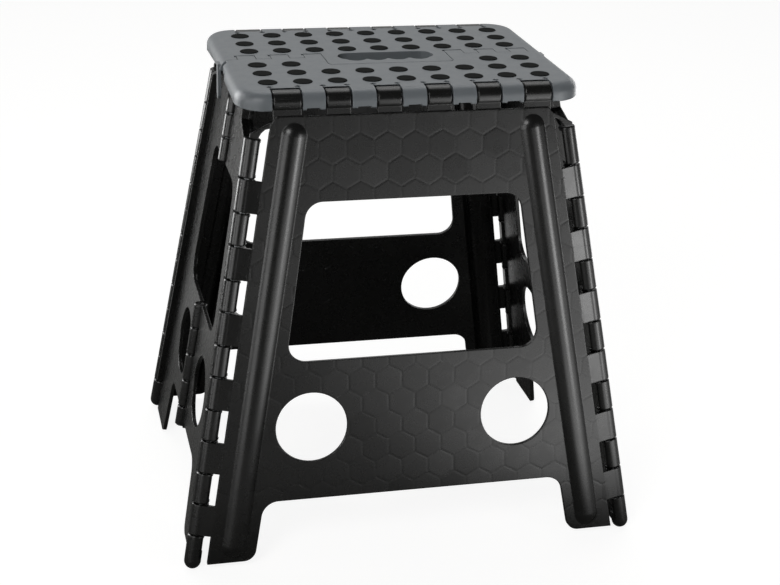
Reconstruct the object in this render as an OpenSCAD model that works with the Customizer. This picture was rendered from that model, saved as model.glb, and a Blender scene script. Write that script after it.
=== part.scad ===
// Folding step stool, standing open. Millimetres, +Z up, floor at z = 0.
// The two leg panels lean in towards the seat. The four corner hinges and the
// two hinges in the middle of the sides all point at one high point above the
// seat, which is what lets the sides fold inwards while the legs close up.

/* [Overall size] */
// seat length, side to side
seat_length = 290; // [250:5:340]
// seat depth, front to back over the hinge knuckles
seat_depth = 227; // [200:1:260]
// height of the seat top above the floor
seat_height = 402; // [340:2:460]
// height of the point where all leg hinge lines meet
apex_height = 1150; // [950:10:1600]
// distance of the corner hinges inside the seat ends
corner_inset = 17; // [12:1:24]

/* [Leg panels] */
// wall thickness of the moulded panels
wall = 3.5; // [2.5:0.1:5]
// outer face of a leg panel in front of the hinge plane
face_offset = 8.5; // [8:0.1:10]
// clear strip between the panel edge and the corner hinge line
edge_inset = 12; // [10:0.5:15]
// bottom edge of the large opening
opening_bottom = 179; // [150:1:200]
// distance from the seat hinge down to the large opening
opening_drop = 82; // [70:1:100]
// how much lower the top of the back panel's opening is
back_opening_lower = 8; // [0:1:15]
// strip of panel beside the large opening, at its bottom
opening_strip_bottom = 42.1; // [38:0.1:55]
// strip of panel beside the large opening, at its top
opening_strip_top = 39.3; // [37:0.1:52]
// corner radius of the large opening
opening_round = 15; // [8:1:25]
// radius of the two round holes
leg_hole_r = 30.8; // [20:0.2:34]
// distance of the round holes from the panel's slanting edge
leg_hole_inset = 72.6; // [66:0.2:78]
// height of the arch between the feet
arch_height = 57; // [30:1:64]
// width of a foot of the leg panel
foot_width = 40.6; // [36:0.2:60]
// height of the leg panel's lower edge above the floor
leg_foot = 5; // [0:0.5:8]

/* [Side panels] */
// strip of side panel beside its opening, at the bottom
side_strip_bottom = 47.8; // [40:0.1:60]
// strip of side panel beside its opening, at the top
side_strip_top = 45.3; // [38:0.1:60]
// radius of the round holes in the side panels
side_hole_r = 31.5; // [15:0.5:33]
// distance of those holes from the slanting edge
side_hole_inset = 77.4; // [72:0.2:84]
// width of a foot of the side panel
side_foot_width = 54; // [42:0.5:70]
// height of the arch between the feet of the side panel
side_arch_height = 64; // [50:1:70]
// height of the rim outside the slanting edge of the side panel
rim_out = 6; // [3:0.5:6.5]

/* [Hinges] */
// radius of the seat hinge knuckles
knuckle_r = 9.2; // [8.5:0.1:10]
// radius of the corner hinge barrels
barrel_r = 7.2; // [6:0.1:7.6]
// radius of the middle hinge barrels
middle_r = 6; // [5:0.1:6.8]
// radius of the steel pins in the corner and middle hinges
pin_r = 2; // [1.5:0.1:2.5]
// radius of the steel pins in the seat hinges
seat_pin_r = 2.3; // [2:0.1:2.6]
// play between a pin and its bore
pin_play = 0.06; // [0.03:0.01:0.1]
// gap between neighbouring knuckles
knuckle_gap = 1.2; // [0.5:0.1:1.6]
// wider bore of the right rear corner hinge
loose_bore_r = 3.3; // [3.1:0.1:3.5]
// wider bore of the rear seat hinge
loose_seat_bore_r = 4.7; // [4.5:0.1:5]

/* [Seat] */
// radius that rounds the edge of the seat
edge_round = 9; // [6:0.5:9]
// corner radius of the seat seen from above
corner_round = 26; // [18:1:36]
// radius of the grip dots
dot_r = 8; // [5:0.2:9]
// how far the grip dots stand above the seat
dot_rise = 0.6; // [0.3:0.1:1]

/* [Hidden] */
$fn = 64;

// seat hinge lines, at the front and at the back
pivot_z = seat_height - knuckle_r;
pivot_y = seat_depth / 2 - knuckle_r;
pivot_x = seat_length / 2 - corner_inset;
// lean of the hinge lines, per millimetre of height
lean_x = pivot_x / (apex_height - pivot_z);
lean_y = pivot_y / (apex_height - pivot_z);
foot_x = lean_x * apex_height;
foot_y = lean_y * apex_height;
leg_tilt = atan(lean_y);
side_tilt = atan(lean_x);
line_n = sqrt(1 + lean_x * lean_x + lean_y * lean_y);
leg_slant = asin(lean_x / line_n);
side_slant = asin(lean_y / line_n);
leg_slope = lean_x * cos(leg_tilt);
side_slope = lean_y * cos(side_tilt);
// long ribs of a leg panel: radius of their round back, and how far they stand out
rib_r = 14.5;
rib_rise = 4.5;
// heights measured along a leg panel and along a side panel
leg_pivot = pivot_z / cos(leg_tilt);
leg_top = leg_pivot - 11.4;
side_top = (seat_height - 22) / cos(side_tilt);
opening_top = leg_pivot - opening_drop;
leg_hole_height = (opening_bottom + arch_height) / 2 + 3;
side_hole_height = leg_hole_height - 3;
// half width of a leg panel and of a side panel at floor level
leg_low = foot_x - edge_inset;
// corner hinge: barrels and blocks take turns up the line
barrel_top = (seat_height - 37.5) * line_n;
first_barrel = 32;
last_barrel = 33;
turn = (barrel_top - last_barrel - first_barrel) / 11;
collar = 2.8;
pin_foot = 5;
plate_in = 0.3;
side_edge = barrel_r + 1.6;
side_low = foot_y - side_edge;
middle_edge = middle_r + 1.4;
end_bevel = 0.8;
corner_cut = 21;
// a barrel's root is this much thinner than the plate it grows from
root_step = 0.04;
rim_depth = face_offset - wall - 3;
// middle hinge of a side panel
side_open_low = opening_bottom;
side_open_high = opening_top;
middle_low = side_arch_height - 7;
middle_turn = (side_open_low + 1 - middle_low) / 5;
upper_turn = (side_top - 5 - side_open_high) / 3;
// seat details
black_w = [23, 20, 20, 20, 20, 23];
black_pitch = seat_length * 0.1448;
rear_wedge = 0.05;
lip_bevel = 10;
front_room = 1.9;
rear_room = 2.5;
side_room = 1.1;
tab_w = 15.4;
tab_pitch = seat_length * 0.1007;
tab_first = seat_length * 0.2183;
tab_reach = 8.3;
tab_slot = 2;
seam = 3;
tongue_half = tab_first - tab_w / 2 - 0.9;
tongue_reach = 28;
dot_pitch = seat_length / 10;
row_near = 23.6;
row_far = pivot_y - 24.3;
row_mid = row_near + 0.49 * (row_far - row_near);
seat_grey = "#868a8e";
panel_black = "#2c2c2b";

// points of an arc
function arc(x, y, r, a0, a1) = [for (k = [0 : 12]) let (a = a0 + (a1 - a0) * k / 12)
    [x + r * cos(a), y + r * sin(a)]];

// upright trapezoid with round corners, half widths b at height lo and a at height hi
module round_trapezoid(b, a, lo, hi, r) {
    m = (a - b) / (hi - lo);
    s = sqrt(1 + m * m);
    cb = b + m * r - r * s;
    ct = a - m * r - r * s;
    t = atan(-m);
    polygon(concat(arc(cb, lo + r, r, -90, t), arc(ct, hi - r, r, t, 90),
        arc(-ct, hi - r, r, 90, 180 - t), arc(-cb, lo + r, r, 180 - t, 270)));
}

// arch from the floor up, half widths b at foot level and a at its top; the feet have round inner corners
module arch_cut(b, a, foot, hi, r, foot_r) {
    m = (a - b) / (hi - foot);
    s = sqrt(1 + m * m);
    ct = a - m * r - r * s;
    xc = b + m * foot_r + foot_r * s;
    t = atan(-m);
    polygon(concat([[-xc, foot - 20], [xc, foot - 20]],
        arc(xc, foot + foot_r, foot_r, 270, 180 + t),
        arc(ct, hi - r, r, t, 90), arc(-ct, hi - r, r, 90, 180 - t),
        arc(-xc, foot + foot_r, foot_r, -t, -90)));
}

module rounded_plate(lx, ly, r) {
    square([lx - 2 * r, ly], center = true);
    square([lx, ly - 2 * r], center = true);
    for (sx = [-1, 1])
        for (sy = [-1, 1])
            translate([sx * (lx / 2 - r), sy * (ly / 2 - r)]) circle(r);
}

module rod_x(r, x0, x1) {
    translate([x0, 0, 0]) rotate([0, 90, 0]) cylinder(h = x1 - x0, r = r);
}

// cylinder along z with bevelled ends
module spool(r, len, low_bevel, high_bevel) {
    rotate_extrude()
        polygon([[0, 0], [r - low_bevel, 0], [r, low_bevel],
            [r, len - high_bevel], [r - high_bevel, len], [0, len]]);
}

module floor_cut() {
    translate([-400, -400, -60]) cube([800, 800, 60]);
}

// a leg panel's own plane: x sideways, -y outwards, z up along the panel
module leg_place() {
    translate([0, -foot_y, 0]) rotate([-leg_tilt, 0, 0]) children();
}

// the left side panel's own plane: y towards the back, -x outwards
module side_place() {
    translate([-foot_x, 0, 0]) rotate([0, side_tilt, 0]) children();
}

// left corner hinge line inside a leg panel's plane
module leg_corner() {
    translate([-foot_x, 0, 0]) rotate([0, leg_slant, 0]) children();
}

// front corner hinge line inside the left side panel's plane
module side_corner() {
    translate([0, -foot_y, 0]) rotate([-side_slant, 0, 0]) children();
}

// half width of a leg panel at height z, and of a side panel
function leg_half(z) = leg_low - leg_slope * z;
function side_half_width(z) = side_low - side_slope * z;

module leg_outline(open_top) {
    high = leg_half(leg_top);
    arch_half = leg_half(leg_foot) - foot_width;
    difference() {
        polygon([[-leg_half(leg_foot), leg_foot], [leg_half(leg_foot), leg_foot],
            [leg_half(leg_top - 6), leg_top - 6], [high - 4, leg_top],
            [-high + 4, leg_top], [-leg_half(leg_top - 6), leg_top - 6]]);
        round_trapezoid(leg_half(opening_bottom) - opening_strip_bottom,
            leg_half(open_top) - opening_strip_top, opening_bottom, open_top, opening_round);
        for (sx = [-1, 1])
            translate([sx * (leg_half(leg_hole_height) - leg_hole_inset), leg_hole_height])
                circle(leg_hole_r);
        arch_cut(arch_half, arch_half - 9, leg_foot, arch_height, 15, 11);
    }
}

// round bar, ball ended, that a panel's long rib near each edge is cut from
module rib_body(r) {
    low = 19.5;
    high = leg_pivot - 27.2;
    x_low = leg_half(low) - 21.3;
    x_high = leg_half(high) - 20.2;
    lean = atan((x_low - x_high) / (high - low));
    len = sqrt((high - low) * (high - low) + (x_low - x_high) * (x_low - x_high));
    for (sx = [0, 1])
        mirror([sx, 0, 0])
            translate([x_low, -face_offset - rib_rise + rib_r, low]) rotate([0, -lean, 0]) {
                cylinder(h = len, r = r);
                sphere(r);
                translate([0, 0, len]) sphere(r);
            }
}

// cross-section of a leg block around the corner hinge line
module block_profile() {
    reach = edge_inset - 0.6;
    span = sqrt(reach * reach + face_offset * face_offset);
    tip = atan(face_offset / reach) + acos(barrel_r / span) - 90;
    face = -face_offset + root_step;
    back = -face_offset + wall - root_step;
    circle(barrel_r);
    polygon([[-barrel_r * 0.97 * sin(tip), -barrel_r * 0.97 * cos(tip)], [reach, face],
        [edge_inset + 4, face], [edge_inset + 4, back], [edge_inset, back], [4.6, -3.4], [0, 0]]);
}

// one block; the two ends of its round side are bevelled
module block(len) {
    difference() {
        linear_extrude(height = len) block_profile();
        for (z = [0, len])
            translate([-barrel_r, 0, z]) rotate([0, 45, 0]) cube([1.2, 40, 1.2], center = true);
    }
}

module leg_blocks() {
    for (side = [0, 1])
        mirror([side, 0, 0])
            leg_corner() {
                for (i = [0 : 5])
                    translate([0, 0, first_barrel + 2 * i * turn + knuckle_gap / 2])
                        block(turn - knuckle_gap);
                shoulder();
            }
}

// slanting arm from the panel's top corner to just above the last barrel, set back from the face
module shoulder() {
    translate([0, -face_offset + wall + 1.6, barrel_top])
        rotate([90, 0, 0])
            linear_extrude(height = wall - 0.4)
                polygon([[-3.4, 0.6], [3.6, 0.6], [5.2, 5], [8.2, 8.6], [edge_inset + 1, 10.4],
                    [edge_inset + 4, 10.4], [edge_inset + 4, 15.2], [edge_inset, 14.6], [-3.4, 3.6]]);
}

// rim behind the slanting edges of a leg panel
module edge_rim() {
    low = leg_foot + 0.1;
    high = leg_top - 12;
    for (side = [0, 1])
        mirror([side, 0, 0])
            translate([0, -face_offset + wall + rim_depth, 0])
                rotate([90, 0, 0])
                    linear_extrude(height = rim_depth + wall / 2)
                        polygon([[leg_half(low) - 0.1, low], [leg_half(low) - 2.3, low],
                            [leg_half(high) - 2.3, high], [leg_half(high) - 0.1, high]]);
}

module black_knuckle_span(i) {
    x0 = (i - 2.5) * black_pitch - black_w[i] / 2;
    translate([x0, 0, 0]) children();
}

module leg_knuckles() {
    for (i = [0 : 5])
        black_knuckle_span(i)
            translate([0, 0, leg_pivot]) {
                rotate([0, 90, 0]) spool(knuckle_r, black_w[i], end_bevel, end_bevel);
                translate([0, -face_offset + 1.7, leg_top - leg_pivot - 5])
                    cube([black_w[i], wall + 0.6, leg_pivot - leg_top + 5]);
            }
}

module leg_panel(seat_bore, left_bore, right_bore, open_top) {
    leg_place()
        difference() {
            union() {
                translate([0, -face_offset + wall, 0])
                    rotate([90, 0, 0])
                        linear_extrude(height = wall) leg_outline(open_top);
                intersection() {
                    rib_body(rib_r);
                    translate([-250, -face_offset - 12, 0]) cube([500, 13, leg_top]);
                }
                leg_blocks();
                edge_rim();
                leg_knuckles();
            }
            rib_body(rib_r - wall);
            translate([0, 0, leg_pivot]) rod_x(seat_bore, -seat_length / 2, seat_length / 2);
            leg_corner() cylinder(h = barrel_top + 20, r = left_bore);
            mirror([1, 0, 0]) leg_corner() cylinder(h = barrel_top + 20, r = right_bore);
        }
}

module front_leg_panel() {
    color(panel_black)
        leg_panel(seat_pin_r + pin_play, pin_r + pin_play, pin_r + pin_play, opening_top);
}

module back_leg_panel() {
    color(panel_black)
        mirror([0, 1, 0])
            leg_panel(loose_seat_bore_r, pin_r + pin_play, loose_bore_r, opening_top - back_opening_lower);
}

// outline of the front half, y below zero, without hinge parts
module side_outline() {
    arch_half = side_half_width(0) - side_foot_width;
    difference() {
        polygon([[-side_half_width(-4), -4], [-middle_edge, -4], [-middle_edge, side_top],
            [-side_half_width(side_top) + corner_cut, side_top],
            [-side_half_width(side_top - 9) + corner_cut, side_top - 9],
            [-side_half_width(side_top - 17), side_top - 17]]);
        round_trapezoid(side_half_width(side_open_low) - side_strip_bottom,
            side_half_width(side_open_high) - side_strip_top, side_open_low, side_open_high, 18);
        translate([-side_half_width(side_hole_height) + side_hole_inset, side_hole_height])
            circle(side_hole_r);
        arch_cut(arch_half, arch_half - 12, 0, side_arch_height, 15, 9);
    }
}

// rim that stands outwards along the slanting edge and the cut corner of a side panel
module side_rim() {
    low = first_barrel + 3;
    bend = side_top - 17.4;
    turn_up = side_top - 9.2;
    w = 3;
    translate([-rim_out, 0, 0])
        rotate([90, 0, 90])
            linear_extrude(height = rim_out + plate_in + 1)
                polygon([[-side_half_width(low) + 0.1, low], [-side_half_width(bend) + 0.1, bend],
                    [-side_half_width(turn_up) + corner_cut + 0.2, turn_up],
                    [-side_half_width(side_top) + corner_cut + 0.2, side_top - 0.1],
                    [-side_half_width(side_top) + corner_cut + w, side_top - 0.1],
                    [-side_half_width(turn_up) + corner_cut + w, turn_up - 1.6],
                    [-side_half_width(bend) + w, bend - 1.2], [-side_half_width(low) + w, low]]);
}

// one barrel with its root into the plate; to is the side the plate is on
module barrel(r, from, len, to, low_bevel, edge) {
    translate([0, 0, from]) {
        spool(r, len, low_bevel, end_bevel);
        translate([plate_in + root_step, to > 0 ? 0 : -edge - 1.5, 0])
            cube([wall - 2 * root_step, edge + 1.5, len]);
    }
}

// shallow flat between the collars of a barrel, on the side that faces the leg panel
module barrel_waist(from, to) {
    translate([barrel_r - 1.3, -barrel_r, from + collar])
        cube([barrel_r, 2 * barrel_r, to - from - 2 * collar]);
}

// barrels of a corner hinge
module corner_barrels() {
    difference() {
        union() {
            translate([0, 0, barrel_r]) sphere(barrel_r);
            barrel(barrel_r, barrel_r, first_barrel - barrel_r - knuckle_gap / 2, 1, 0, side_edge);
            for (i = [0 : 4])
                barrel(barrel_r, first_barrel + (2 * i + 1) * turn + knuckle_gap / 2,
                    turn - knuckle_gap, 1, end_bevel, side_edge);
            barrel(barrel_r, barrel_top - last_barrel + knuckle_gap / 2,
                last_barrel - knuckle_gap / 2, 1, end_bevel, side_edge);
        }
        barrel_waist(barrel_r + 6, first_barrel);
        for (i = [0 : 4])
            barrel_waist(first_barrel + (2 * i + 1) * turn, first_barrel + (2 * i + 2) * turn);
        barrel_waist(barrel_top - last_barrel, barrel_top);
    }
}

// where the lower middle hinge changes from one half to the other; the end barrels are shorter
function middle_at(i) = middle_low + (i == 0 ? 0 : i == 5 ? 5 : 0.83 + 1.07 * (i - 1)) * middle_turn;

// own = 0 gives the front half's barrels, own = 1 the rear half's
module middle_barrels(own) {
    to = own > 0 ? 1 : -1;
    half_gap = knuckle_gap / 2;
    for (i = [0 : 4])
        if (i % 2 == own)
            barrel(middle_r, middle_at(i) + half_gap, middle_at(i + 1) - middle_at(i) - knuckle_gap,
                to, end_bevel, middle_edge);
    for (i = [0 : 2])
        if (i % 2 != own)
            barrel(middle_r, side_open_high + 1 + i * upper_turn + half_gap, upper_turn - knuckle_gap,
                to, end_bevel, middle_edge);
}

// half = 0 front half, half = 1 rear half of the left side
module side_half(half) {
    difference() {
        side_place()
            difference() {
                union() {
                    mirror([0, half, 0]) {
                        translate([plate_in, 0, 0])
                            rotate([90, 0, 90])
                                linear_extrude(height = wall) side_outline();
                        side_rim();
                        side_corner() corner_barrels();
                    }
                    middle_barrels(half);
                }
                mirror([0, half, 0])
                    side_corner()
                        translate([0, 0, pin_foot - 0.6]) cylinder(h = barrel_top, r = pin_r + pin_play);
                translate([0, 0, middle_low + 3]) cylinder(h = side_top, r = pin_r + pin_play);
            }
        floor_cut();
    }
}

module left_front_side() {
    color(panel_black) side_half(0);
}

module left_rear_side() {
    color(panel_black) side_half(1);
}

module right_front_side() {
    color(panel_black) mirror([1, 0, 0]) side_half(0);
}

module right_rear_side() {
    color(panel_black) mirror([1, 0, 0]) side_half(1);
}

// whole seat as one pillow-edged slab; each half thins towards the middle
module seat_slab() {
    e = edge_round;
    difference() {
        translate([0, 0, seat_height]) {
            translate([0, 0, -20])
                linear_extrude(height = 20 - e) rounded_plate(seat_length, seat_depth, corner_round);
            translate([0, 0, -20])
                linear_extrude(height = 20)
                    rounded_plate(seat_length - 2 * e, seat_depth - 2 * e, corner_round - e);
            for (sy = [-1, 1])
                translate([0, sy * (seat_depth / 2 - e), -e])
                    rod_x(e, -seat_length / 2 + corner_round, seat_length / 2 - corner_round);
            for (sx = [-1, 1])
                translate([sx * (seat_length / 2 - e), -seat_depth / 2 + corner_round, -e])
                    rotate([-90, 0, 0]) cylinder(h = seat_depth - 2 * corner_round, r = e);
            for (sx = [-1, 1])
                for (sy = [-1, 1])
                    translate([sx * (seat_length / 2 - corner_round),
                        sy * (seat_depth / 2 - corner_round), -e])
                        rotate_extrude() translate([corner_round - e, 0]) circle(e);
        }
        for (sy = [0, 1])
            mirror([0, sy, 0]) {
                translate([0, 0, pivot_z])
                    rotate([-atan(rear_wedge), 0, 0])
                        translate([-seat_length, 0, -40]) cube([2 * seat_length, seat_depth, 40]);
                // lower edge, bevelled so that it turns past the top of the leg panel
                translate([-seat_length, pivot_y + lip_bevel * cos(45), pivot_z - lip_bevel * cos(45)])
                    rotate([-45, 0, 0]) translate([0, 0, -20]) cube([2 * seat_length, 20, 40]);
            }
    }
}

// ribs under one half: pockets open downwards; y runs away from the middle
module under_pockets(from_y) {
    cols = 8;
    span = seat_length - 2 * 11;
    step = span / cols;
    for (i = [0 : cols - 1])
        for (j = [0 : 1]) {
            rib = (from_y + pivot_y - 14) / 2;
            y0 = j == 0 ? from_y : rib + 1.2;
            y1 = j == 0 ? rib - 1.2 : pivot_y - 14;
            translate([-span / 2 + i * step + 1.2, y0, seat_height - 30])
                cube([step - 2.4, y1 - y0, 30 - 4.5]);
        }
}

// pockets for the leg panel's black knuckles, on the +y edge
module knuckle_pockets(room) {
    for (i = [0 : 5])
        black_knuckle_span(i) {
            translate([0, pivot_y, pivot_z]) rod_x(knuckle_r + room, -side_room, black_w[i] + side_room);
            translate([-side_room, pivot_y, pivot_z - 20]) cube([black_w[i] + 2 * side_room, 30, 40]);
            for (sx = [0, 1])
                translate([sx * black_w[i], pivot_y - knuckle_r - room + 0.7, seat_height - 5])
                    rotate([0, 0, 45]) cube([4.2, 4.2, 12], center = true);
        }
    // lower lip of the grey knuckles, cut back in the middle
    for (i = [0 : 4])
        translate([(i - 2) * black_pitch - 5.5, pivot_y + 3, pivot_z - 14]) cube([11, 12, 14 - 4]);
}

// the front half's hinge tabs seen from above; grow widens them on all sides
module tab_plan(grow) {
    for (sx = [-1, 1])
        for (i = [0 : 2])
            translate([sx * (tab_first + i * tab_pitch) - tab_w / 2 - grow, -seam - 1.5]) {
                square([tab_w + 2 * grow, seam + 1.5 + tab_reach + (grow > 0 ? tab_slot : 0)]);
                if (grow > 0)
                    translate([-1.2, seam + 1.5 + tab_reach + tab_slot - 5]) square([2, 5]);
            }
}

// middle tongue of the rear half, seen from above
module tongue_plan(grow) {
    translate([-tongue_half - grow, -tongue_reach - grow + 4])
        square([2 * tongue_half + 2 * grow, tongue_reach + grow]);
    translate([-tongue_half - grow + 4, -tongue_reach - grow])
        square([2 * tongue_half + 2 * grow - 8, 10]);
    for (sx = [-1, 1])
        translate([sx * (tongue_half + grow - 4), -tongue_reach - grow + 4]) circle(4);
}

// everything of the rear half, seen from above
module rear_plan() {
    difference() {
        union() {
            translate([-seat_length, -seam]) square([2 * seat_length, seat_depth]);
            tongue_plan(0);
        }
        tab_plan(0.7);
    }
}

module front_plan() {
    difference() {
        union() {
            translate([-seat_length, -seat_depth - seam - 0.5]) square([2 * seat_length, seat_depth]);
            tab_plan(0);
        }
        tongue_plan(0.7);
    }
}

// hinge barrels under the seat middle, for one half; grow makes room for them
module middle_seat_barrels(front, grow = 0) {
    r = 6 + grow;
    for (sx = [-1, 1])
        for (i = [0 : 2]) {
            x = sx * (tab_first + i * tab_pitch);
            next = sx * (tab_first + (i + 0.5) * tab_pitch);
            own = tab_pitch - tab_w - 1.2 + 2 * grow;
            end = 0.018 * seat_length + grow;
            translate([0, 0, pivot_z])
                if (front)
                    rod_x(r, x - tab_w / 2, x + tab_w / 2);
                else if (i < 2)
                    rod_x(r, next - own / 2, next + own / 2);
                else
                    rod_x(r, sx * 0.469 * seat_length - end, sx * 0.469 * seat_length + end);
        }
}

module handle_slot() {
    translate([0, 0, -30]) linear_extrude(height = 60) {
        translate([-31, -13]) square([62, 22]);
        for (sx = [-1, 1])
            translate([sx * 31, -2.5]) circle(11.5);
        for (i = [0 : 3])
            translate([(i - 1.5) * 18.6, -8.5]) circle(9.6);
    }
}

module dot_places(front) {
    for (i = [-4 : 4]) {
        translate([i * dot_pitch, row_far, 0]) children();
        translate([i * dot_pitch, row_mid, 0]) children();
        if (!front || abs(i) > 2)
            translate([i * dot_pitch, row_near, 0]) children();
    }
}

module dot_recess() {
    translate([0, 0, seat_height - 1.4]) cylinder(h = 5, r = dot_r + 0.05);
}

module seat_front() {
    color(seat_grey)
        difference() {
            union() {
                intersection() {
                    seat_slab();
                    translate([0, 0, seat_height - 30]) linear_extrude(height = 40) front_plan();
                }
                middle_seat_barrels(true);
            }
            mirror([0, 1, 0]) {
                under_pockets(tongue_reach + 8);
                knuckle_pockets(front_room);
                dot_places(true) dot_recess();
                translate([0, pivot_y, pivot_z])
                    rod_x(seat_pin_r + pin_play, -seat_length * 0.42, seat_length * 0.42);
            }
            translate([0, 0, pivot_z]) rod_x(pin_r + pin_play, -seat_length * 0.49, seat_length * 0.49);
            middle_seat_barrels(false, 0.6);
            for (sx = [-1, 1])
                translate([sx * seat_length / 2, 0, seat_height - 20]) {
                    translate([sx * 8.2, -15, 0]) cube([20, 30, 50], center = true);
                    translate([sx * 5, 0, 0]) cube([20, 20, 50], center = true);
                }
        }
}

module seat_rear() {
    color(seat_grey)
        difference() {
            union() {
                intersection() {
                    seat_slab();
                    translate([0, 0, seat_height - 30]) linear_extrude(height = 40) rear_plan();
                }
                middle_seat_barrels(false);
                stop_lugs();
            }
            under_pockets(18);
            knuckle_pockets(rear_room);
            dot_places(false) dot_recess();
            translate([0, pivot_y, pivot_z])
                rod_x(seat_pin_r + pin_play, -seat_length * 0.42, seat_length * 0.42);
            translate([0, 0, pivot_z]) rod_x(pin_r + pin_play, -seat_length * 0.485, -tongue_half - 0.4);
            translate([0, 0, pivot_z]) rod_x(pin_r + pin_play, tongue_half + 0.4, seat_length * 0.485);
            translate([0, 0, seat_height]) handle_slot();
            translate([-tongue_half - 1, -tongue_reach - 5, pivot_z - 20])
                cube([2 * tongue_half + 2, tongue_reach + 5, 20.2]);
        }
}

// lugs that hang outside the side panels and keep them from bowing outwards
module stop_lugs() {
    for (sx = [-1, 1])
        translate([sx * (seat_length / 2), 5.5, 0]) {
            translate([-1.4, -5, seat_height - 31]) cube([2.8, 10, 21]);
            translate([-1.4, 0, seat_height - 31]) rotate([0, 90, 0]) cylinder(h = 2.8, r = 5);
            translate([-1.4 - (sx > 0 ? 3 : 0), -5, seat_height - 10.5]) cube([5.8, 10, 6]);
        }
}

module grip_dot() {
    translate([0, 0, seat_height - 1.4]) {
        cylinder(h = 1.4 + dot_rise - 0.3, r = dot_r);
        translate([0, 0, 1.4 + dot_rise - 0.3]) cylinder(h = 0.3, r1 = dot_r, r2 = dot_r - 0.4);
    }
}

module grip_dots_front() {
    color("#2a2c2a")
        mirror([0, 1, 0]) dot_places(true) grip_dot();
}

module grip_dots_rear() {
    color("#2a2c2a")
        dot_places(false) grip_dot();
}

module corner_pin() {
    color("#9a9da0")
        leg_place() leg_corner()
            translate([0, 0, pin_foot]) cylinder(h = barrel_top - 2.8 - pin_foot, r = pin_r);
}

module front_left_pin() {
    corner_pin();
}

module front_right_pin() {
    mirror([1, 0, 0]) corner_pin();
}

module back_left_pin() {
    mirror([0, 1, 0]) corner_pin();
}

module back_right_pin() {
    mirror([0, 1, 0]) mirror([1, 0, 0]) corner_pin();
}

module middle_pin(from, to) {
    color("#9a9da0")
        side_place() translate([0, 0, from]) cylinder(h = to - from, r = pin_r);
}

module left_upper_pin() {
    middle_pin(side_open_high + 2.5, side_open_high + 3 * upper_turn - 1);
}

module left_lower_pin() {
    middle_pin(middle_low + 3.2, side_open_low - 0.5);
}

module right_upper_pin() {
    mirror([1, 0, 0]) middle_pin(side_open_high + 2.5, side_open_high + 3 * upper_turn - 1);
}

module right_lower_pin() {
    mirror([1, 0, 0]) middle_pin(middle_low + 3.2, side_open_low - 0.5);
}

module seat_front_pin() {
    color("#9a9da0")
        translate([0, -pivot_y, pivot_z]) rod_x(seat_pin_r, -seat_length * 0.418, seat_length * 0.418);
}

module seat_back_pin() {
    color("#9a9da0")
        translate([0, pivot_y, pivot_z]) rod_x(seat_pin_r, -seat_length * 0.418, seat_length * 0.418);
}

module seat_middle_left_pin() {
    color("#9a9da0")
        translate([0, 0, pivot_z]) rod_x(pin_r, -seat_length * 0.484, -tongue_half - 1.2);
}

module seat_middle_right_pin() {
    color("#9a9da0")
        translate([0, 0, pivot_z]) rod_x(pin_r, tongue_half + 1.2, seat_length * 0.484);
}

seat_front();
seat_rear();
grip_dots_front();
grip_dots_rear();
front_leg_panel();
back_leg_panel();
left_front_side();
left_rear_side();
right_front_side();
right_rear_side();
front_left_pin();
front_right_pin();
back_left_pin();
back_right_pin();
left_upper_pin();
left_lower_pin();
right_upper_pin();
right_lower_pin();
seat_front_pin();
seat_back_pin();
seat_middle_left_pin();
seat_middle_right_pin();
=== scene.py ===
"""Looks of the folding step stool: finishes, studio and camera around the fixed frame.

Metres, +Z up, front of the stool at -Y, floor at z = 0.
"""

import math

import bpy
from mathutils import Matrix, Vector


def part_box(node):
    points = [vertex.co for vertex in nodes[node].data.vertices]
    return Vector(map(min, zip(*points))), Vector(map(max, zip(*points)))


MM = 0.001

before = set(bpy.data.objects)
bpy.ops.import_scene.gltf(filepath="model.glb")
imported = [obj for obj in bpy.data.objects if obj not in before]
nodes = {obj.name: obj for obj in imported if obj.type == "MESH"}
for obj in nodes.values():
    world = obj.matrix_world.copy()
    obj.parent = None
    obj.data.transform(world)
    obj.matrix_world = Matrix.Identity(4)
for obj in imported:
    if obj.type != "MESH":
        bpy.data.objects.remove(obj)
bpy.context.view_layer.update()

# The planes of the two leg panels, which lean in towards the seat. The height of the seat is
# read from the frame, and the other sizes are those of the solids.
SEAT_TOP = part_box("seat_front")[1][2]
# wall of a leg panel, and how far its outer face lies outside the plane of its hinge lines
WALL = 3.5 * MM
LEG_FACE = 8.5 * MM
# The corner hinge lines: how far in front of the middle they stand at the height of the seat's
# hinges, and the height at which they would all meet.
HINGE_Y = 104.3 * MM
HINGE_Z = SEAT_TOP - 9.2 * MM
MEETING_POINT = 1150.0 * MM
LEAN_Y = HINGE_Y / (MEETING_POINT - HINGE_Z)
LEG_TILT = math.atan(LEAN_Y)
FOOT_Y = LEAN_Y * MEETING_POINT
# width of one cell of the leg panels' hexagon field, from side to side
HEXAGON = 23 * MM

LEG_NODES = ["front_leg_panel", "back_leg_panel"]
SIDE_NODES = ["left_front_side", "left_rear_side", "right_front_side", "right_rear_side"]
SEAT_NODES = ["seat_front", "seat_rear"]
DOT_NODES = ["grip_dots_front", "grip_dots_rear"]
PIN_NODES = [name for name in nodes if name.endswith("_pin")]


def linear(hex_colour):
    """sRGB hex such as '#808080' as the linear, opaque RGBA that a socket takes."""
    channels = [int(hex_colour[i:i + 2], 16) / 255 for i in (1, 3, 5)]
    return [c / 12.92 if c <= 0.04045 else ((c + 0.055) / 1.055) ** 2.4 for c in channels] + [1.0]


def add(tree, kind, inputs=(), **settings):
    """Adds one node. settings are its properties; inputs are (socket, value or output) pairs."""
    node = tree.nodes.new(kind)
    for name, value in settings.items():
        setattr(node, name, value)
    for socket, value in inputs:
        if isinstance(value, bpy.types.NodeSocket):
            tree.links.new(value, node.inputs[socket])
        else:
            node.inputs[socket].default_value = value
    return node


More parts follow.
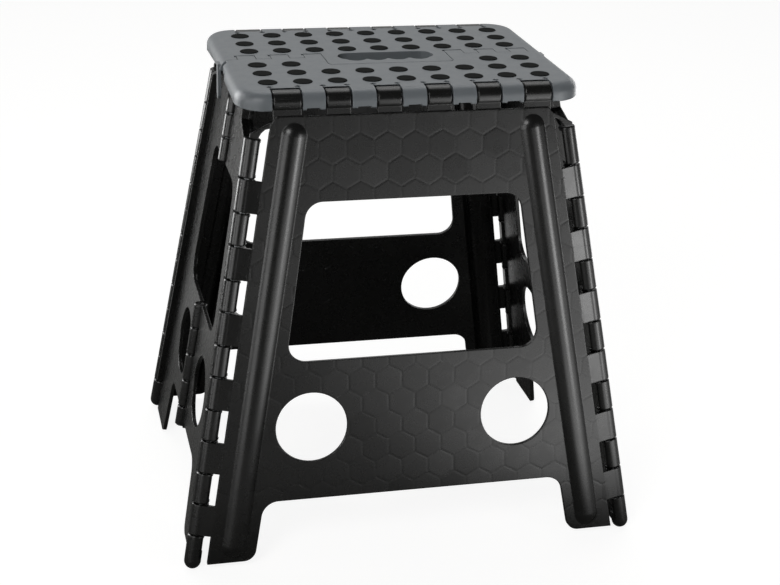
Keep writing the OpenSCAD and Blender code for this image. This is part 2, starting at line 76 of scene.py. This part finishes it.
def new_finish(name):
    """Empty material with its node tree and its output node."""
    material = bpy.data.materials.new(name)
    material.use_nodes = True
    tree = material.node_tree
    tree.nodes.clear()
    return material, tree


def finish_surface(tree, shader):
    """Joins the shader to the material's output."""
    add(tree, "ShaderNodeOutputMaterial", [("Surface", shader.outputs[0])])


def dress(names, material):
    """Gives the named solids that one material."""
    for name in names:
        slots = nodes[name].data.materials
        slots.clear()
        slots.append(material)


def moulded_grain(tree, place, size, low, high):
    """Fine spark-eroded grain of a moulding tool: noise of the given grain size, from low to high."""
    noise = add(tree, "ShaderNodeTexNoise", [("Vector", place), ("Scale", 1 / size), ("Detail", 3.0),
                                             ("Roughness", 0.6)])
    # nearly all of the noise lies between these two
    spread = [("From Min", 0.3), ("From Max", 0.7), ("To Min", low), ("To Max", high)]
    return add(tree, "ShaderNodeMapRange", [("Value", noise.outputs["Fac"])] + spread).outputs[0]


def rising(tree, value, start, end, low, high):
    """Output that goes softly from low to high while the value goes from start to end."""
    spread = [("From Min", start), ("From Max", end), ("To Min", low), ("To Max", high)]
    return add(tree, "ShaderNodeMapRange", [("Value", value)] + spread,
               interpolation_type="SMOOTHSTEP").outputs[0]


def soft_edges(tree, radius):
    """Moulded edges are never sharp: a normal that rolls over them."""
    return add(tree, "ShaderNodeBevel", [("Radius", radius)], samples=6).outputs["Normal"]


def grey_seat_plastic():
    """Polypropylene, injection-moulded against an etched tool: satin, a little uneven in sheen."""
    material, tree = new_finish("grey_polypropylene_moulded")
    place = add(tree, "ShaderNodeTexCoord").outputs["Object"]
    drift = add(tree, "ShaderNodeTexNoise", [("Vector", place), ("Scale", 1 / (60 * MM)),
                                             ("Detail", 2.0)])
    colour = add(tree, "ShaderNodeMix", [("Factor", drift.outputs["Fac"]), ("A", linear("#70767a")),
                                         ("B", linear("#777c80"))], data_type="RGBA")
    # the etched grain is about 0.3 mm on the real one; 1.2 mm is the finest that shows
    grain = moulded_grain(tree, place, 1.2 * MM, 0.0, 1.0)
    gloss = moulded_grain(tree, place, 9 * MM, 0.38, 0.46)
    bump = add(tree, "ShaderNodeBump", [("Strength", 0.10), ("Distance", 0.05 * MM), ("Height", grain),
                                        ("Normal", soft_edges(tree, 0.8 * MM))])
    shader = add(tree, "ShaderNodeBsdfPrincipled", [("Base Color", colour.outputs["Result"]),
                                                    ("Roughness", gloss), ("IOR", 1.49),
                                                    ("Normal", bump.outputs["Normal"])])
    finish_surface(tree, shader)
    return material


def hexagon_height(tree, across_place, up_place, cell):
    """Height of a field of upright hexagons.

    Every cell is a facet that leans its own way, inside a fine groove. It shows as soft steps from
    cell to cell with a faint dark outline.
    """
    plane = add(tree, "ShaderNodeCombineXYZ", [("X", across_place), ("Y", up_place)]).outputs[0]
    scaled = add(tree, "ShaderNodeVectorMath", [(0, plane), ("Scale", 1 / cell)],
                 operation="SCALE").outputs[0]
    # two grids of boxes, shifted by half a box, have their middles where the cells have theirs
    box = Vector((1.0, math.sqrt(3.0), 1.0))
    near = []
    for shift in (Vector((0, 0, 0)), box / 2):
        moved = add(tree, "ShaderNodeVectorMath", [(0, scaled), (1, shift)],
                    operation="ADD").outputs[0]
        near.append(add(tree, "ShaderNodeVectorMath", [(0, moved), (1, box / 2), (2, -box / 2)],
                        operation="WRAP").outputs[0])
    flat = [add(tree, "ShaderNodeVectorMath", [(0, v), (1, (1, 1, 0))],
                operation="MULTIPLY").outputs[0] for v in near]
    far = [add(tree, "ShaderNodeVectorMath", [(0, v)], operation="LENGTH").outputs["Value"]
           for v in flat]
    second = add(tree, "ShaderNodeMath", [(0, far[0]), (1, far[1])],
                 operation="GREATER_THAN").outputs[0]
    own = add(tree, "ShaderNodeMix", [("Factor", second), (4, flat[0]), (5, flat[1])],
              data_type="VECTOR").outputs[1]
    # how near the cell's border is: 0.5 on the border itself
    side = add(tree, "ShaderNodeVectorMath", [(0, own)], operation="ABSOLUTE").outputs[0]
    slanted = add(tree, "ShaderNodeVectorMath", [(0, side), (1, (0.5, math.sqrt(0.75), 0))],
                  operation="DOT_PRODUCT").outputs["Value"]
    straight = add(tree, "ShaderNodeSeparateXYZ", [("Vector", side)]).outputs["X"]
    edge = add(tree, "ShaderNodeMath", [(0, slanted), (1, straight)], operation="MAXIMUM").outputs[0]
    groove_depth = 0.18
    groove = rising(tree, edge, 0.42, 0.5, 0.0, -groove_depth)
    # The middle of the cell names it, and a random direction per cell says which way the facet
    # leans. The small offset keeps every middle clear of the rounding steps' borders.
    middle = add(tree, "ShaderNodeVectorMath", [(0, scaled), (1, own)], operation="SUBTRACT").outputs[0]
    inside = add(tree, "ShaderNodeVectorMath", [(0, middle), (1, (0.12, 0.1, 0.5))],
                 operation="ADD").outputs[0]
    named = add(tree, "ShaderNodeVectorMath", [(0, inside), (1, (0.25, 0.25, 1.0))],
                operation="SNAP").outputs[0]
    random = add(tree, "ShaderNodeTexWhiteNoise", [("Vector", named)],
                 noise_dimensions="3D").outputs["Color"]
    lean = add(tree, "ShaderNodeVectorMath", [(0, random), (1, (0.5, 0.5, 0.5))],
               operation="SUBTRACT").outputs[0]
    tilt = add(tree, "ShaderNodeVectorMath", [(0, own), (1, lean)],
               operation="DOT_PRODUCT").outputs["Value"]
    facet_lean = 2.0
    return add(tree, "ShaderNodeMath", [(0, tilt), (1, facet_lean), (2, groove)],
               operation="MULTIPLY_ADD").outputs[0]


def black_plastic(name, patterned):
    """Black polypropylene, injection-moulded: semi-gloss with a soft grain that dulls the highlights.

    patterned is the leg panels' version, with the shallow hexagon field on its two flat faces.
    """
    material, tree = new_finish(name)
    place = add(tree, "ShaderNodeTexCoord").outputs["Object"]
    drift = add(tree, "ShaderNodeTexNoise", [("Vector", place), ("Scale", 1 / (45 * MM)),
                                             ("Detail", 2.0)])
    colour = add(tree, "ShaderNodeMix", [("Factor", drift.outputs["Fac"]), ("A", linear("#0d0d0c")),
                                         ("B", linear("#131312"))], data_type="RGBA")
    # the real grain is about 0.2 mm; 1.1 mm is the finest that shows
    grain = moulded_grain(tree, place, 1.1 * MM, 0.0, 1.0)
    gloss = moulded_grain(tree, place, 12 * MM, 0.25, 0.3)
    normal = soft_edges(tree, 1.2 * MM)
    if patterned:
        split = add(tree, "ShaderNodeSeparateXYZ", [("Vector", place)])
        up = add(tree, "ShaderNodeMath", [(0, split.outputs["Z"]), (1, 1 / math.cos(LEG_TILT))],
                 operation="MULTIPLY").outputs[0]
        # distance from the hinge plane, measured square to the panel, front and back alike
        out = add(tree, "ShaderNodeMath", [(0, split.outputs["Y"])], operation="ABSOLUTE").outputs[0]
        flat_out = add(tree, "ShaderNodeMath", [(0, out), (1, math.cos(LEG_TILT)),
                                                (2, -FOOT_Y * math.cos(LEG_TILT))],
                       operation="MULTIPLY_ADD").outputs[0]
        depth = add(tree, "ShaderNodeMath", [(0, split.outputs["Z"]), (1, math.sin(LEG_TILT)),
                                             (2, flat_out)], operation="MULTIPLY_ADD").outputs[0]
        # both faces are half a wall away from the middle of the panel
        middle = LEG_FACE - WALL / 2
        reach = 0.25 * MM
        from_middle = add(tree, "ShaderNodeMath", [(0, depth), (1, middle)],
                          operation="SUBTRACT").outputs[0]
        off = add(tree, "ShaderNodeMath", [(0, from_middle)], operation="ABSOLUTE").outputs[0]
        mask = add(tree, "ShaderNodeMath", [(0, off), (1, WALL / 2), (2, reach)],
                   operation="COMPARE").outputs[0]
        hexagons = hexagon_height(tree, split.outputs["X"], up, HEXAGON)
        relief = add(tree, "ShaderNodeMath", [(0, hexagons), (1, mask)],
                     operation="MULTIPLY").outputs[0]
        normal = add(tree, "ShaderNodeBump", [("Strength", 1.0), ("Distance", 0.25 * MM),
                                              ("Height", relief),
                                              ("Normal", normal)]).outputs["Normal"]
    bump = add(tree, "ShaderNodeBump", [("Strength", 0.12), ("Distance", 0.05 * MM), ("Height", grain),
                                        ("Normal", normal)])
    shader = add(tree, "ShaderNodeBsdfPrincipled", [("Base Color", colour.outputs["Result"]),
                                                    ("Roughness", gloss), ("IOR", 1.49),
                                                    ("Normal", bump.outputs["Normal"])])
    finish_surface(tree, shader)
    return material


def dot_rubber():
    """Thermoplastic rubber, moulded into the seat's recesses: matt, finely pitted, near black."""
    material, tree = new_finish("black_rubber_moulded")
    place = add(tree, "ShaderNodeTexCoord").outputs["Object"]
    # pitting of about 0.5 mm on the real one, drawn at 1 mm so that it shows
    pits = moulded_grain(tree, place, 1.0 * MM, 0.0, 1.0)
    colour = add(tree, "ShaderNodeMix", [("Factor", pits), ("A", linear("#0c0e0d")),
                                         ("B", linear("#141614"))], data_type="RGBA")
    bump = add(tree, "ShaderNodeBump", [("Strength", 0.25), ("Distance", 0.08 * MM), ("Height", pits)])
    shader = add(tree, "ShaderNodeBsdfPrincipled", [("Base Color", colour.outputs["Result"]),
                                                    ("Roughness", 0.8), ("IOR", 1.52),
                                                    ("Specular IOR Level", 0.05),
                                                    ("Normal", bump.outputs["Normal"])])
    finish_surface(tree, shader)
    return material


def pin_steel():
    """Drawn steel rod, cut to length: bright, with fine lines along it that spread the highlight."""
    material, tree = new_finish("steel_rod_drawn")
    place = add(tree, "ShaderNodeTexCoord").outputs["Object"]
    lines = moulded_grain(tree, place, 0.8 * MM, 0.26, 0.4)
    shader = add(tree, "ShaderNodeBsdfPrincipled", [("Base Color", linear("#b9bbbd")), ("Metallic", 1.0),
                                                    ("Roughness", lines)])
    finish_surface(tree, shader)
    return material


dress(SEAT_NODES, grey_seat_plastic())
dress(LEG_NODES, black_plastic("black_polypropylene_hexagon", True))
dress(SIDE_NODES, black_plastic("black_polypropylene_moulded", False))
dress(DOT_NODES, dot_rubber())
dress(PIN_NODES, pin_steel())


# Studio: a wide pale floor in a plain room, both seen as white by the camera.

FLOOR_HALF = 6.0
# the height on the stool that every lamp is turned to
MIDDLE_HEIGHT = 0.2
# what the camera sees of the floor's own white, and of the room's
FLOOR_WHITE = 0.88
ROOM_WHITE = 0.93


def studio_white_and_painted_reflection():
    """Matt pale paper, lifted to white for the camera alone, with a glow that only reflections see.

    That glow is a painted reflection: a lit floor painted in for the black plastic to mirror. It is
    dark under the stool and at its sides, bright close in front of it and behind it, and brightest on
    the right.
    """
    material, tree = new_finish("paper_sweep_painted_reflection")
    paper = add(tree, "ShaderNodeBsdfDiffuse", [("Color", linear("#8c8c8a"))])
    path = add(tree, "ShaderNodeLightPath")
    place = add(tree, "ShaderNodeTexCoord").outputs["Object"]
    away = add(tree, "ShaderNodeVectorMath", [(0, place)], operation="LENGTH").outputs["Value"]
    spot = add(tree, "ShaderNodeSeparateXYZ", [("Vector", place)])
    ahead = add(tree, "ShaderNodeMath", [(0, spot.outputs["Y"])], operation="ABSOLUTE").outputs[0]
    # where the painted reflection lies, distances in metres: clear of the stool, close to it, in front
    # or behind, and to the right
    painted_reflection_parts = [rising(tree, away, 0.22, 0.46, 0.0, 1.0),
              rising(tree, away, 0.6, 1.2, 1.0, 0.45),
              rising(tree, ahead, 0.25, 0.5, 0.1, 1.0),
              rising(tree, spot.outputs["X"], 0.06, 0.3, 0.2, 3.8),
              path.outputs["Is Glossy Ray"]]
    # painted reflection: the floor glows for glossy rays alone, standing in for light falling on it
    painted_reflection = painted_reflection_parts[0]
    for share in painted_reflection_parts[1:]:
        painted_reflection = add(tree, "ShaderNodeMath", [(0, painted_reflection), (1, share)],
                       operation="MULTIPLY").outputs[0]
    white_lift_and_painted_reflection = add(tree, "ShaderNodeMath", [(0, path.outputs["Is Camera Ray"]), (1, FLOOR_WHITE),
                                        (2, painted_reflection)], operation="MULTIPLY_ADD")
    glow = add(tree, "ShaderNodeEmission", [("Color", linear("#ffffff")),
                                            ("Strength", white_lift_and_painted_reflection.outputs[0])])
    finish_surface(tree, add(tree, "ShaderNodeAddShader", [(0, paper.outputs[0]),
                                                           (1, glow.outputs[0])]))
    return material


def floor_sweep():
    """The floor, flat and wide enough to fill the picture."""
    mesh = bpy.data.meshes.new("studio_floor")
    corners = [(-1, -1), (1, -1), (1, 1), (-1, 1)]
    mesh.from_pydata([(x * FLOOR_HALF, y * FLOOR_HALF, 0) for x, y in corners], [], [(0, 1, 2, 3)])
    floor = bpy.data.objects.new("studio_floor", mesh)
    mesh.materials.append(studio_white_and_painted_reflection())
    bpy.context.scene.collection.objects.link(floor)


def softbox(name, azimuth, away, height, width, tall, brightness, only_mirrored=False):
    """Soft lamp, turned to the middle of the stool.

    azimuth is in degrees, from the front to the right. away and height place the lamp, width and
    tall are its size, all in metres. brightness is the lamp's own, as a reflection shows it.
    only_mirrored makes it a strip that shows in the plastic's sheen and lights nothing matt.
    """
    lamp = bpy.data.lights.new(name, "AREA")
    lamp.shape = "RECTANGLE"
    lamp.size = width
    lamp.size_y = tall
    lamp.energy = brightness * math.pi * width * tall
    box = bpy.data.objects.new(name, lamp)
    box.visible_diffuse = not only_mirrored
    turn = math.radians(azimuth)
    box.location = (away * math.sin(turn), -away * math.cos(turn), height)
    to_stool = Vector((0, 0, MIDDLE_HEIGHT)) - box.location
    box.rotation_euler = to_stool.to_track_quat("-Z", "Y").to_euler()
    bpy.context.scene.collection.objects.link(box)


floor_sweep()
softbox("right_front_softbox", 39, 1.3, 0.24, 0.36, 0.5, 4.6)
softbox("left_front_softbox", -37, 1.9, 1.45, 0.8, 0.8, 7.2)
softbox("overhead_softbox", 170, 0.9, 2.1, 1.4, 1.4, 1.75)
softbox("right_front_strip", 40, 1.35, 0.14, 0.36, 0.5, 3.6, only_mirrored=True)
softbox("right_rear_strip", 132, 1.2, 0.36, 0.4, 0.7, 3.0, only_mirrored=True)
softbox("left_front_strip", -44, 1.4, 0.3, 0.6, 0.8, 2.8, only_mirrored=True)
softbox("left_strip", -72, 1.4, 0.4, 0.25, 0.8, 5.6, only_mirrored=True)
softbox("left_rear_strip", -125, 1.2, 0.5, 0.6, 0.9, 9.0, only_mirrored=True)


def plain_room():
    """The room around the floor, bright behind the stool where the backdrop stands, dim in front."""
    world = bpy.data.worlds.new("studio_room")
    world.use_nodes = True
    tree = world.node_tree
    tree.nodes.clear()
    way = add(tree, "ShaderNodeSeparateXYZ",
              [("Vector", add(tree, "ShaderNodeTexCoord").outputs["Generated"])])
    dim, bright = 0.08, 0.66
    glow = rising(tree, way.outputs["Y"], -0.05, 0.9, dim, bright)
    room = add(tree, "ShaderNodeBackground", [("Color", linear("#ffffff")), ("Strength", glow)])
    sky = add(tree, "ShaderNodeBackground", [("Color", linear("#ffffff")), ("Strength", ROOM_WHITE)])
    ray = add(tree, "ShaderNodeLightPath")
    both = add(tree, "ShaderNodeMixShader", [("Fac", ray.outputs["Is Camera Ray"]),
                                             (1, room.outputs[0]), (2, sky.outputs[0])])
    add(tree, "ShaderNodeOutputWorld", [("Surface", both.outputs[0])])
    bpy.context.scene.world = world


plain_room()

# Camera: stands in front and to the left, looks down on the seat and is rolled a little, as the
# photograph's was. LENS is the focal length in millimetres on a frame SENSOR wide.
AZIMUTH = math.radians(-13.667)
ELEVATION = math.radians(22.486)
ROLL = math.radians(1.767)
DISTANCE = 1424.2 * MM
TARGET = Vector((-2.5, -56.2, 200.1)) * MM
LENS = 73.87
SENSOR = 36.0


def camera():
    """Makes the camera and hands it to the scene."""
    back = Vector((math.sin(AZIMUTH) * math.cos(ELEVATION),
                   -math.cos(AZIMUTH) * math.cos(ELEVATION), math.sin(ELEVATION)))
    right = Vector((math.cos(AZIMUTH), math.sin(AZIMUTH), 0))
    up = back.cross(right)
    turned_right = math.cos(ROLL) * right + math.sin(ROLL) * up
    turned_up = math.cos(ROLL) * up - math.sin(ROLL) * right
    data = bpy.data.cameras.new("camera")
    data.sensor_fit = "HORIZONTAL"
    data.sensor_width = SENSOR
    data.lens = LENS
    eye = bpy.data.objects.new("camera", data)
    rotation = Matrix((turned_right, turned_up, back)).transposed().to_4x4()
    eye.matrix_world = Matrix.Translation(TARGET + DISTANCE * back) @ rotation
    bpy.context.scene.collection.objects.link(eye)
    bpy.context.scene.camera = eye


camera()
bpy.context.scene.view_settings.view_transform = "Standard"
